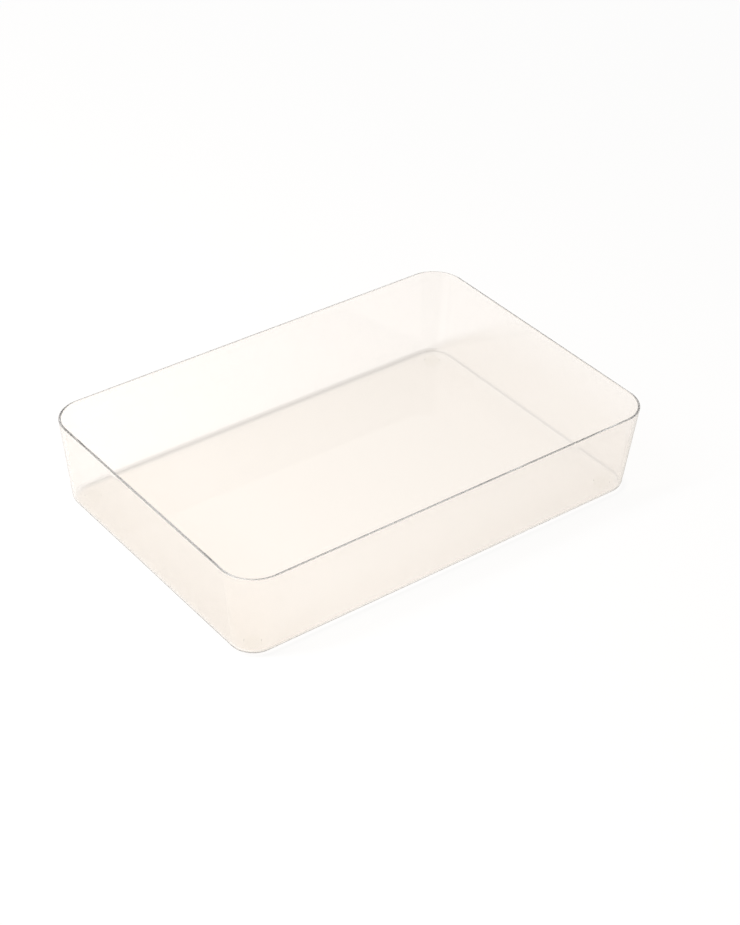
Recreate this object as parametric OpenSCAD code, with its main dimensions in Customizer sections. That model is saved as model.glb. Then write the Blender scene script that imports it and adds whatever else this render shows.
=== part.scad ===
// Clear drawer organizer bin: one thin-walled open tray, moulded in one piece,
// standing on four self-adhesive pads.
// Millimetres. The origin is at the middle of the surface the pads stand on,
// X runs along the length, Y from the front wall to the back wall, Z up.

/* [Tray] */
// Length over the rim
bin_length = 240; // [160:1:320]
// Width over the rim
bin_width = 164; // [110:1:240]
// Height of the moulding from its underside to the top of the rim
bin_height = 46.5; // [30:0.5:80]
// Outside radius of the upright corners, at the rim
corner_radius = 17; // [15:0.5:30]
// Lean of the walls away from upright, in degrees, so that trays nest and leave the mould
wall_draft = 6.1; // [2:0.1:10]

/* [Wall and floor] */
// Thickness of the walls, square to their faces
wall = 1.2; // [1:0.1:2.4]
// Thickness of the floor
floor_thickness = 1.3; // [1:0.1:3]
// How far the rounded rim stands proud of each face of the wall
rim_bead = 0.05; // [0.05:0.05:0.4]
// Radius of the hollow where the floor meets the walls, inside
inside_fillet = 1.75; // [1:0.25:4]
// Radius of the bottom edge, outside
bottom_edge_radius = 3; // [1:0.25:5]

/* [Pads] */
// Diameter of a pad
pad_diameter = 8; // [5:0.5:12]
// Thickness of a pad, its adhesive included
pad_height = 1.5; // [1:0.1:3]
// Radius of a pad's lower edge
pad_edge_radius = 0.5; // [0.2:0.1:0.8]
// Distance from a pad to the edges of the flat underside
pad_margin = 4; // [2:0.5:12]

/* [Hidden] */
$fn = 64;

clear_plastic = [0.98, 0.96, 0.93, 0.4];
clear_silicone = [0.9, 0.9, 0.89, 0.7];

// The plan's corners turn about four upright axes, this far from the middle
axis_x = bin_length / 2 - corner_radius;
axis_y = bin_width / 2 - corner_radius;
// Where those axes stand, anticlockwise, and how far it is from each back to the one before
corner_axes = [[axis_x, axis_y], [-axis_x, axis_y], [-axis_x, -axis_y], [axis_x, -axis_y]];
side_runs = [2 * axis_y, 2 * axis_x, 2 * axis_y, 2 * axis_x];

// The section is drawn with r from a corner's axis and z from the underside.
// The rim is a full round, a little thicker than the wall.
rim_radius = wall / 2 + rim_bead;
rim_centre = [corner_radius - rim_radius, bin_height - rim_radius];
// The direction that the wall's outer face looks in, out and a little down
face_normal = [cos(wall_draft), -sin(wall_draft)];
// How far the wall's outer face lies from the section's origin, along that direction
face_reach = rim_centre * face_normal + wall / 2;

// The rounds at the bottom cross the wall's faces by this much, so that the surfaces meet in a clean edge
blend = 0.01;

// Centre of the round between a flat at height base and a wall face, inset from the outer one
function edge_centre(inset, base, radius) =
    [
        (face_reach - inset - radius + blend - (base + radius) * face_normal.y) / face_normal.x,
        base + radius
    ];

// How far the flat of the underside reaches from a corner's axis, up to the rounded bottom edge
flat_r = edge_centre(0, 0, bottom_edge_radius).x;
// Where the middles of the pads lie, that far in from the edges of the flat
pad_x = axis_x + flat_r - pad_margin - pad_diameter / 2;
pad_y = axis_y + flat_r - pad_margin - pad_diameter / 2;

// Half section of a block with a rounded bottom edge and a leaning wall face,
// from the corner's axis out to the face and from base up to the points in top
module leaning_section(inset, base, radius, top) {
    centre = edge_centre(inset, base, radius);
    bottom = [[0, base], [centre.x, base], centre + (radius - blend) * face_normal];
    union() {
        polygon(concat(bottom, top));
        translate(centre)
            circle(radius);
    }
}

// Section of the tray, from a corner's axis out through the floor and up the wall to the rim
module tray_section() {
    outer_rim = rim_centre + wall / 2 * face_normal;
    inner_rim = rim_centre - wall / 2 * face_normal;
    difference() {
        leaning_section(0, 0, bottom_edge_radius, [outer_rim, inner_rim, [0, inner_rim.y]]);
        leaning_section(wall, floor_thickness, inside_fillet, [inner_rim, [0, bin_height]]);
    }
    translate(rim_centre)
        circle(rim_radius);
}

// The section carried round the plan: a quarter turn at each corner and a straight run back to the one before
module bin() {
    color(clear_plastic)
        translate([0, 0, pad_height]) {
            for (k = [0:3])
                translate(corner_axes[k])
                    rotate(90 * k) {
                        rotate_extrude(angle = 90)
                            tray_section();
                        rotate([90, 0, 0])
                            linear_extrude(side_runs[k])
                                tray_section();
                    }
            translate([-axis_x, -axis_y, 0])
                cube([2 * axis_x, 2 * axis_y, floor_thickness]);
        }
}

// A pad under one corner of the floor: a disc with a rounded lower edge
module pad(x_side, y_side) {
    radius = pad_diameter / 2;
    color(clear_silicone)
        translate([x_side * pad_x, y_side * pad_y, 0])
            rotate_extrude() {
                square([radius - pad_edge_radius, pad_height]);
                translate([0, pad_edge_radius])
                    square([radius, pad_height - pad_edge_radius]);
                translate([radius - pad_edge_radius, pad_edge_radius])
                    circle(pad_edge_radius);
            }
}

bin();
pad(-1, -1);  // front_left_pad
pad(1, -1);  // front_right_pad
pad(-1, 1);  // back_left_pad
pad(1, 1);  // back_right_pad
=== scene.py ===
"""Looks of a clear drawer organizer bin on four stick-on pads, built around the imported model.

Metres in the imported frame: X along the length, Y from the front wall to the back wall, Z up.
"""

import math

import bpy
import numpy as np
from mathutils import Matrix, Vector


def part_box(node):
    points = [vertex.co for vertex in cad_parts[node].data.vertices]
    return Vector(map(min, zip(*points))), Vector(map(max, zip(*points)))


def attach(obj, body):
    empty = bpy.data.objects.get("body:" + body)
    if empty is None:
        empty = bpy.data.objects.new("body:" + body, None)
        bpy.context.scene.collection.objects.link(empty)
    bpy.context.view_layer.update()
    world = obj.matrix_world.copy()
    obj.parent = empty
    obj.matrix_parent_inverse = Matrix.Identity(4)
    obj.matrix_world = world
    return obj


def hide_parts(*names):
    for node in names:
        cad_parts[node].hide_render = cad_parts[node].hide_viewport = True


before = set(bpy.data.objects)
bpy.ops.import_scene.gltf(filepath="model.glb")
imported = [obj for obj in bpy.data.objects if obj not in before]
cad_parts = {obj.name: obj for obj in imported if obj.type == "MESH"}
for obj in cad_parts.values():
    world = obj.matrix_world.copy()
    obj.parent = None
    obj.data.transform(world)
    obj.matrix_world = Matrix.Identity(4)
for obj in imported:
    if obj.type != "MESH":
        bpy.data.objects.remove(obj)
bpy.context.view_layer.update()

MM = 0.001

# Sizes of the moulding in millimetres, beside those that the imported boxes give
CORNER_RADIUS = 17.0
WALL_DRAFT = math.radians(6.1)
WALL = 1.2
FLOOR = 1.3
INSIDE_FILLET = 1.75
BOTTOM_EDGE = 3.0
# The rim stands this proud of each face of the wall, and the swelling runs out over this length
RIM_BEAD = 0.05
BEAD_RUN_OUT = 2.5
# Air left between the floor's underside and a pad's adhesive, so that no two faces lie in one plane
CONTACT = 0.01
# A row of points this far from each round keeps the flat beside it flat
HOLD = 0.25

# Points along the plan and round the section
CORNER_STEPS = 32
LONG_STEPS = 12
SHORT_STEPS = 8
ROUND_STEPS = 16
BEAD_STEPS = 8
# Rows on the plain part of the wall, the lowest of them this far below the rim's centre
WALL_ROWS = 3
LOW_ROW = 20.0


def linear(hex_colour):
    """sRGB hex to linear RGBA."""
    c = np.array([int(hex_colour[i:i + 2], 16) for i in (1, 3, 5)]) / 255
    c = np.where(c <= 0.04045, c / 12.92, ((c + 0.055) / 1.055) ** 2.4)
    return (*c.tolist(), 1.0)


# Meshes

def arc(centre, radius, start, end, steps):
    """Points on a circle about centre, from angle start to angle end, ends included."""
    a = np.linspace(start, end, steps + 1)
    return np.stack([centre[0] + radius * np.cos(a), centre[1] + radius * np.sin(a)], 1)


def tray_section(height):
    """Section of the tray as (r, z) points, r from a corner's axis and z from the underside.

    From the floor's top out through the inside fillet, up the leaning inner face, over the
    full round of the rim, down the outer face and round the bottom edge to the underside.
    Each face is a straight line at half a wall's distance from the wall's middle line, and
    near the rim that distance grows by the bead along a smooth cubic step.
    """
    lean = np.array([math.sin(WALL_DRAFT), math.cos(WALL_DRAFT)])
    out = np.array([lean[1], -lean[0]])
    rim_radius = WALL / 2 + RIM_BEAD
    rim = np.array([CORNER_RADIUS - rim_radius, height - rim_radius])
    reach = rim @ out + WALL / 2

    def edge_centre(inset, base, radius):
        """Centre of the round between a flat at height base and a wall face, inset from the outer one."""
        z = base + radius
        return np.array([(reach - inset - radius - z * out[1]) / out[0], z])

    def face(side, low):
        """Points up one face of the wall, from the distance low along the lean to the rim's centre."""
        along = np.concatenate([[low, low + HOLD], np.linspace(-LOW_ROW, -2 * BEAD_RUN_OUT, WALL_ROWS),
                                np.linspace(-BEAD_RUN_OUT, 0, BEAD_STEPS + 1)])
        step = np.clip(1 + along / BEAD_RUN_OUT, 0, 1)
        half = WALL / 2 + RIM_BEAD * step ** 2 * (3 - 2 * step)
        return rim + along[:, None] * lean + side * half[:, None] * out

    fillet = edge_centre(WALL, FLOOR, INSIDE_FILLET)
    edge = edge_centre(0, 0, BOTTOM_EDGE)
    inner = face(-1, (fillet + INSIDE_FILLET * out - rim) @ lean)
    outer = face(1, (edge + BOTTOM_EDGE * out - rim) @ lean)
    tilt = -WALL_DRAFT
    return np.concatenate([
        [[fillet[0] - HOLD, FLOOR]],
        arc(fillet, INSIDE_FILLET, -math.pi / 2, tilt, ROUND_STEPS)[:-1],
        inner[:-1],
        arc(rim, rim_radius, math.pi + tilt, tilt, 2 * ROUND_STEPS),
        outer[-2::-1],
        arc(edge, BOTTOM_EDGE, tilt, -math.pi / 2, ROUND_STEPS)[1:],
        [[edge[0] - HOLD, 0]],
    ])


def plan_stations(half_length, half_width):
    """Stations round the plan, anticlockwise from the middle of the front left corner.

    Each has the point that the section's r is measured from and the angle it looks out at.
    The point stays on a corner's axis while the angle turns a quarter, then the angle stays
    and the point runs straight to the next corner's axis.
    """
    axis_x, axis_y = half_length - CORNER_RADIUS, half_width - CORNER_RADIUS
    axes = np.array([[-axis_x, -axis_y], [axis_x, -axis_y], [axis_x, axis_y], [-axis_x, axis_y]])
    mid_corners = np.radians([225, 315, 405, 495])
    eighth = np.linspace(0, math.pi / 4, CORNER_STEPS // 2 + 1)
    points, turns = [], []
    for k, steps in enumerate((LONG_STEPS, SHORT_STEPS, LONG_STEPS, SHORT_STEPS)):
        here, there = axes[k], axes[(k + 1) % 4]
        side_turn = mid_corners[k] + math.pi / 4
        hold = HOLD / np.linalg.norm(there - here)
        run = np.concatenate([[hold], np.linspace(0, 1, steps + 1)[1:-1], [1 - hold]])
        points += [np.repeat([here], len(eighth), 0), here + run[:, None] * (there - here),
                   np.repeat([there], len(eighth) - 1, 0)]
        turns += [mid_corners[k] + eighth, np.full(len(run), side_turn), side_turn + eighth[:-1]]
    return np.concatenate(points), np.concatenate(turns)


def flat_cap(loop, sides):
    """Grid of points that fills a flat loop of four sides, each from mid corner to mid corner.

    A Coons patch: the blend of the front and back sides, plus that of the left and right
    sides, less the blend of the four corners. Returns the inner points and the grid of
    point numbers, where the loop's own points count first.
    """
    long, short = sides
    ring = np.arange(len(loop))
    front, right = ring[:long + 1], ring[long:long + short + 1]
    back = ring[long + short:2 * long + short + 1][::-1]
    left = np.append(ring[2 * long + short:], 0)[::-1]
    grid = np.zeros((short + 1, long + 1), int)
    grid[0], grid[-1], grid[:, 0], grid[:, -1] = front, back, left, right
    u = (loop[front, 0] - loop[front[0], 0]) / np.ptp(loop[front, 0])
    v = (loop[right, 1] - loop[right[0], 1]) / np.ptp(loop[right, 1])
    u, v = u[None, 1:-1, None], v[1:-1, None, None]
    p = loop[grid]
    inner = ((1 - v) * p[:1, 1:-1] + v * p[-1:, 1:-1] + (1 - u) * p[1:-1, :1] + u * p[1:-1, -1:]
             - (1 - v) * ((1 - u) * p[0, 0] + u * p[0, -1]) - v * ((1 - u) * p[-1, 0] + u * p[-1, -1]))
    grid[1:-1, 1:-1] = len(loop) + np.arange(inner[..., 0].size).reshape(inner.shape[:2])
    return inner.reshape(-1, 3), grid


def grid_quads(grid):
    """Quads of a grid of point numbers."""
    return np.stack([grid[:-1, :-1], grid[:-1, 1:], grid[1:, 1:], grid[1:, :-1]], -1).reshape(-1, 4)


def new_piece(name, points, quads, material):
    """A smooth mesh object at the origin, its quads turned outwards by the sign of the volume inside them."""
    a, b, c, d = np.moveaxis(points[quads], 1, 0)
    if np.einsum("ij,ij->", a, np.cross(b, c) + np.cross(c, d)) < 0:
        quads = quads[:, ::-1]
    mesh = bpy.data.meshes.new(name)
    mesh.from_pydata(points.tolist(), [], quads.tolist())
    mesh.polygons.foreach_set("use_smooth", np.ones(len(quads), bool))
    mesh.materials.append(material)
    mesh.update()
    piece = bpy.data.objects.new(name, mesh)
    bpy.context.scene.collection.objects.link(piece)
    return piece


def tray(name, low, high, material):
    """The tray in its box: the section carried round the plan, with the floor's two flats as caps.

    A point is its station's own point, plus the section's r in the direction that the station looks out at.
    """
    size = (np.array(high) - np.array(low)) / MM
    section = tray_section(size[2] - CONTACT)
    centre, turn = plan_stations(size[0] / 2, size[1] / 2)
    rows, stations = len(section), len(centre)
    out = np.stack([np.cos(turn), np.sin(turn)], 1)
    body = np.zeros((rows, stations, 3))
    body[..., :2] = centre + section[:, 0, None, None] * out
    body[..., 2] = section[:, 1, None]
    strip = np.arange(rows * stations).reshape(rows, stations)
    quads = [grid_quads(np.concatenate([strip, strip[:, :1]], 1))]
    points = [body.reshape(-1, 3)]
    total = rows * stations
    # Each straight side adds a held point at either end
    sides = (CORNER_STEPS + LONG_STEPS + 2, CORNER_STEPS + SHORT_STEPS + 2)
    for row, turned in ((0, False), (rows - 1, True)):
        inner, grid = flat_cap(body[row], sides)
        number = np.concatenate([strip[row], total + np.arange(len(inner))])
        cap = grid_quads(number[grid])
        quads.append(cap if turned else cap[:, ::-1])
        points.append(inner)
        total += len(inner)
    points = np.concatenate(points) * MM
    points[:, 2] += low[2] + CONTACT * MM
    return new_piece(name, points, np.concatenate(quads), material)


# Materials

def add(tree, kind, inputs=(), **settings):
    """Adds a node with its settings; inputs are values or other nodes' outputs, by socket name or number."""
    node = tree.nodes.new(kind)
    for key, value in settings.items():
        setattr(node, key, value)
    for key, value in dict(inputs).items():
        if isinstance(value, bpy.types.NodeSocket):
            tree.links.new(value, node.inputs[key])
        else:
            node.inputs[key].default_value = value
    return node


def new_material(name):
    """An empty node material and its tree."""
    material = bpy.data.materials.new(name)
    material.use_nodes = True
    material.node_tree.nodes.clear()
    return material, material.node_tree


def moulded_polystyrene():
    """Clear general purpose polystyrene, injection moulded against a polished steel mould."""
    # To the eye it is water clear and faintly warm. Its reflections are sharp and a little wavy from the
    # flow of the melt, faint swirls run through the gloss, and rim and edges show as fine grey lines.
    wave_width, wave_depth = 45 * MM, 0.2 * MM
    swirl_width, swirl_roughness = 9 * MM, 0.03
    # Most of a noise's values lie between these
    noise_low, noise_high = 0.3, 0.7
    material, tree = new_material("clear_polystyrene_moulded")
    place = add(tree, "ShaderNodeTexCoord").outputs["Object"]
    wave = add(tree, "ShaderNodeTexNoise", {"Vector": place, "Scale": 1 / wave_width, "Detail": 2.0})
    bump = add(tree, "ShaderNodeBump", {
        "Height": wave.outputs["Fac"], "Strength": 0.05, "Distance": wave_depth})
    swirl = add(tree, "ShaderNodeTexNoise", {"Vector": place, "Scale": 1 / swirl_width, "Detail": 3.0})
    gloss = add(tree, "ShaderNodeMapRange", {
        "Value": swirl.outputs["Fac"], "From Min": noise_low, "From Max": noise_high,
        "To Min": 0.0, "To Max": swirl_roughness})
    plastic = add(tree, "ShaderNodeBsdfPrincipled", {
        "Base Color": linear("#FFFEFD"), "Roughness": gloss.outputs["Result"], "IOR": 1.59,
        "Transmission Weight": 1.0, "Normal": bump.outputs["Normal"]})
    depth = add(tree, "ShaderNodeVolumeAbsorption", {"Color": linear("#B3ADA2"), "Density": 0.3})

    # Light from the lamp passes each face, less of it the more it grazes
    straight_share, grazing_share = 0.97, 0.7
    facing = add(tree, "ShaderNodeLayerWeight", {"Blend": 0.5})
    dim = add(tree, "ShaderNodeMapRange", {
        "Value": facing.outputs["Facing"], "From Min": 0.7, "From Max": 1.0,
        "To Min": straight_share, "To Max": grazing_share})
    # The rounds look neither sideways nor up or down: there light is bent away and leaves a shadow line
    wall_share, round_share = 0.97, 0.65
    normal = add(tree, "ShaderNodeSeparateXYZ", {0: add(tree, "ShaderNodeNewGeometry").outputs["Normal"]})
    upright = add(tree, "ShaderNodeMath", {0: normal.outputs["Z"]}, operation="ABSOLUTE")
    off_wall = add(tree, "ShaderNodeMapRange", {
        "Value": upright.outputs[0], "From Min": 0.35, "From Max": 0.5,
        "To Min": wall_share, "To Max": round_share})
    on_flat = add(tree, "ShaderNodeMapRange", {
        "Value": upright.outputs[0], "From Min": 0.75, "From Max": 0.85})
    bent = add(tree, "ShaderNodeMath", {
        0: off_wall.outputs["Result"], 1: on_flat.outputs["Result"]}, operation="MAXIMUM")
    passed = add(tree, "ShaderNodeMath", {
        0: bent.outputs[0], 1: dim.outputs["Result"]}, operation="MULTIPLY")
    tinted = add(tree, "ShaderNodeVectorMath", {
        0: linear("#FFFDFA")[:3], "Scale": passed.outputs[0]}, operation="SCALE")
    lamp_light = add(tree, "ShaderNodeBsdfTransparent", {"Color": tinted.outputs["Vector"]})
    path = add(tree, "ShaderNodeLightPath")
    lighting = add(tree, "ShaderNodeMath", {
        0: path.outputs["Is Shadow Ray"], 1: path.outputs["Is Diffuse Ray"]}, operation="MAXIMUM")
    mix = add(tree, "ShaderNodeMixShader", {
        0: lighting.outputs[0], 1: plastic.outputs[0], 2: lamp_light.outputs[0]})
    add(tree, "ShaderNodeOutputMaterial", {"Surface": mix.outputs[0], "Volume": depth.outputs[0]})
    return material


def cast_silicone():
    """Clear silicone rubber, cast in sheets of small pads."""
    # To the eye a pad pressed on clear plastic nearly vanishes: it is clear, with a satin skin of fine grain
    grain_width, grain_roughness = 0.8 * MM, 0.08
    material, tree = new_material("clear_silicone_cast")
    place = add(tree, "ShaderNodeTexCoord").outputs["Object"]
    skin = add(tree, "ShaderNodeTexNoise", {"Vector": place, "Scale": 1 / grain_width, "Detail": 3.0})
    gloss = add(tree, "ShaderNodeMapRange", {
        "Value": skin.outputs["Fac"], "To Min": 0.0, "To Max": grain_roughness})
    # Stuck on, a pad has no air above it that would mirror light, so the IOR is kept far below silicone's 1.4
    rubber = add(tree, "ShaderNodeBsdfPrincipled", {
        "Base Color": linear("#FEFEFD"), "Roughness": gloss.outputs["Result"], "IOR": 1.03,
        "Transmission Weight": 1.0})
    lamp_light = add(tree, "ShaderNodeBsdfTransparent", {"Color": linear("#FDFDFD")})
    path = add(tree, "ShaderNodeLightPath")
    lighting = add(tree, "ShaderNodeMath", {
        0: path.outputs["Is Shadow Ray"], 1: path.outputs["Is Diffuse Ray"]}, operation="MAXIMUM")
    mix = add(tree, "ShaderNodeMixShader", {
        0: lighting.outputs[0], 1: rubber.outputs[0], 2: lamp_light.outputs[0]})
    add(tree, "ShaderNodeOutputMaterial", {"Surface": mix.outputs[0]})
    return material


polystyrene = moulded_polystyrene()
silicone = cast_silicone()

# The bin
bin_low, bin_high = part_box("bin")
bin_piece = tray("moulded_bin", bin_low, bin_high, polystyrene)
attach(bin_piece, "root")
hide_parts("bin")

# The pads
for corner in ("front_left", "front_right", "back_left", "back_right"):
    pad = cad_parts[corner + "_pad"]
    pad.data.materials.clear()
    pad.data.materials.append(silicone)


# Stage: a white paper floor, a white backdrop behind and to the left, a white panel, and one softbox

def pale_floor():
    """Paper that is white to the camera, keeps the bin's shadow and, to rays that the bin mirrors, glows a
    painted grey that darkens the plastic's reflections.
    """
    through_share, painted_reflection_share = 0.3, 0.55
    # How much of the paper is plain white to the camera, near the bin and far from it
    near, near_share = 0.3, 0.85
    far, far_share = 1.2, 1.0
    paper_colour = linear("#FFFBF7")
    material, tree = new_material("pale_floor")
    path = add(tree, "ShaderNodeLightPath")
    # A ray that has just gone through counts as glossy too
    mirrored = add(tree, "ShaderNodeMath", {
        0: path.outputs["Is Glossy Ray"], 1: path.outputs["Is Transmission Ray"]},
        operation="SUBTRACT", use_clamp=True)
    away = add(tree, "ShaderNodeVectorMath", {
        0: add(tree, "ShaderNodeNewGeometry").outputs["Position"]}, operation="LENGTH")
    seen = add(tree, "ShaderNodeMapRange", {
        "Value": away.outputs["Value"], "From Min": near, "From Max": far,
        "To Min": near_share, "To Max": far_share})
    share = add(tree, "ShaderNodeMath", {
        0: path.outputs["Is Transmission Ray"], 1: through_share}, operation="MULTIPLY")
    share = add(tree, "ShaderNodeMath", {
        0: mirrored.outputs[0], 1: painted_reflection_share, 2: share.outputs[0]}, operation="MULTIPLY_ADD")
    share = add(tree, "ShaderNodeMath", {
        0: path.outputs["Is Camera Ray"], 1: seen.outputs["Result"], 2: share.outputs[0]},
        operation="MULTIPLY_ADD")
    colour = add(tree, "ShaderNodeMix", {
        "Factor": path.outputs["Is Camera Ray"], "A": paper_colour, "B": linear("#FFFFFF")}, data_type="RGBA")
    # Painted reflection: to rays that the bin mirrors, the paper glows a flat grey, so the plastic mirrors a
    # darker floor than the lit paper would give
    colour = add(tree, "ShaderNodeMix", {
        "Factor": mirrored.outputs[0], "A": colour.outputs["Result"], "B": linear("#8A8580")},
        data_type="RGBA")
    paper = add(tree, "ShaderNodeBsdfDiffuse", {"Color": paper_colour})
    glow = add(tree, "ShaderNodeEmission", {"Color": colour.outputs["Result"], "Strength": 1.0})
    mix = add(tree, "ShaderNodeMixShader", {0: share.outputs[0], 1: paper.outputs[0], 2: glow.outputs[0]})
    add(tree, "ShaderNodeOutputMaterial", {"Surface": mix.outputs[0]})
    return material


FLOOR_REACH = 6.0
floor_corners = FLOOR_REACH * np.array([[-1, -1, 0], [1, -1, 0], [1, 1, 0], [-1, 1, 0]])
floor_mesh = bpy.data.meshes.new("floor")
floor_mesh.from_pydata(floor_corners.tolist(), [], [(0, 1, 2, 3)])
floor_mesh.materials.append(pale_floor())
floor_piece = bpy.data.objects.new("floor", floor_mesh)
bpy.context.scene.collection.objects.link(floor_piece)


def studio_surround():
    """World: white to the camera, and to mirrored and bent light a backdrop, a panel and a white horizon."""
    backdrop_side, dark = (-0.6, 0.8, 0.0), 0.05
    panel_side, panel_white = (0.508, 0.635, 0.582), 0.78
    # What the surround gives to the light that falls on the floor
    fill = 0.35
    world = bpy.data.worlds.new("studio")
    world.use_nodes = True
    tree = world.node_tree
    tree.nodes.clear()
    path = add(tree, "ShaderNodeLightPath")
    way = add(tree, "ShaderNodeTexCoord").outputs["Generated"]
    # The backdrop stands behind and to the left, and goes over into dark on the other side
    behind = add(tree, "ShaderNodeVectorMath", {0: way, 1: backdrop_side}, operation="DOT_PRODUCT")
    backdrop = add(tree, "ShaderNodeMapRange", {
        "Value": behind.outputs["Value"], "From Min": -0.03, "From Max": 0.4,
        "To Min": dark, "To Max": 1.0}, interpolation_type="SMOOTHSTEP")
    # The floor goes on as a white band above the horizon
    height = add(tree, "ShaderNodeSeparateXYZ", {0: way})
    horizon = add(tree, "ShaderNodeMapRange", {
        "Value": height.outputs["Z"], "From Min": 0.1, "From Max": 0.2,
        "To Min": 1.0, "To Max": 0.0}, interpolation_type="SMOOTHSTEP")
    # The soft panel hangs high up behind right, where the bin's floor mirrors it
    panel = add(tree, "ShaderNodeVectorMath", {0: way, 1: panel_side}, operation="DOT_PRODUCT")
    panel = add(tree, "ShaderNodeMapRange", {
        "Value": panel.outputs["Value"], "From Min": 0.87, "From Max": 0.975,
        "To Min": 0.0, "To Max": panel_white}, interpolation_type="SMOOTHSTEP")
    shown = backdrop.outputs["Result"]
    for white in (horizon.outputs["Result"], panel.outputs["Result"], path.outputs["Is Camera Ray"]):
        shown = add(tree, "ShaderNodeMath", {0: shown, 1: white}, operation="MAXIMUM").outputs[0]
    strength = add(tree, "ShaderNodeMapRange", {
        "Value": path.outputs["Diffuse Depth"], "To Min": shown, "To Max": fill})
    surround = add(tree, "ShaderNodeBackground", {
        "Color": linear("#FFFFFF"), "Strength": strength.outputs["Result"]})
    add(tree, "ShaderNodeOutputWorld", {"Surface": surround.outputs[0]})
    return world


bpy.context.scene.world = studio_surround()

# A narrow softbox high up on the left, nearly in line with the lean of the back wall
LAMP_PLACE = Vector((-0.9, 0.17, 1.15))
LAMP_WIDTH, LAMP_HEIGHT = 0.12, 0.9
LAMP_WATTS = 21.9
lamp_data = bpy.data.lights.new("key_softbox", "AREA")
lamp_data.shape = "RECTANGLE"
lamp_data.size, lamp_data.size_y = LAMP_WIDTH, LAMP_HEIGHT
lamp_data.energy = LAMP_WATTS
lamp = bpy.data.objects.new("key_softbox", lamp_data)
lamp.location = LAMP_PLACE
lamp.rotation_euler = (-LAMP_PLACE).to_track_quat("-Z", "Y").to_euler()
# It lights the floor, and leaves no glints of its own on the rim
lamp.visible_glossy = lamp.visible_transmission = False
bpy.context.scene.collection.objects.link(lamp)

# Light runs on inside the thin walls for hundreds of bounces before it leaves them
BOUNCES = 1024
cycles = bpy.context.scene.cycles
cycles.max_bounces = cycles.transmission_bounces = cycles.glossy_bounces = BOUNCES

# Camera: fitted to the rim, the floor lines and the outline in the photograph, whose frame is 740 x 925
FRAME_LONG = 925
FOCAL_PIXELS = 2233
SENSOR = 36
YAW, PITCH, ROLL = (math.radians(a) for a in (-38.65, 35.57, 2.09))
DISTANCE = 1.1073
TARGET = Vector((0.02130, 0.01180, 0.0015))
back = Vector((math.sin(YAW) * math.cos(PITCH), -math.cos(YAW) * math.cos(PITCH), math.sin(PITCH)))
level = Vector((math.cos(YAW), math.sin(YAW), 0))
rise = back.cross(level)
right = level * math.cos(ROLL) + rise * math.sin(ROLL)
up = rise * math.cos(ROLL) - level * math.sin(ROLL)
camera_data = bpy.data.cameras.new("camera")
camera_data.sensor_width = SENSOR
camera_data.lens = FOCAL_PIXELS * SENSOR / FRAME_LONG
camera = bpy.data.objects.new("camera", camera_data)
turned = Matrix((right, up, back)).transposed().to_4x4()
camera.matrix_world = Matrix.Translation(TARGET + back * DISTANCE) @ turned
bpy.context.scene.collection.objects.link(camera)
bpy.context.scene.camera = camera
bpy.context.scene.view_settings.view_transform = "Standard"
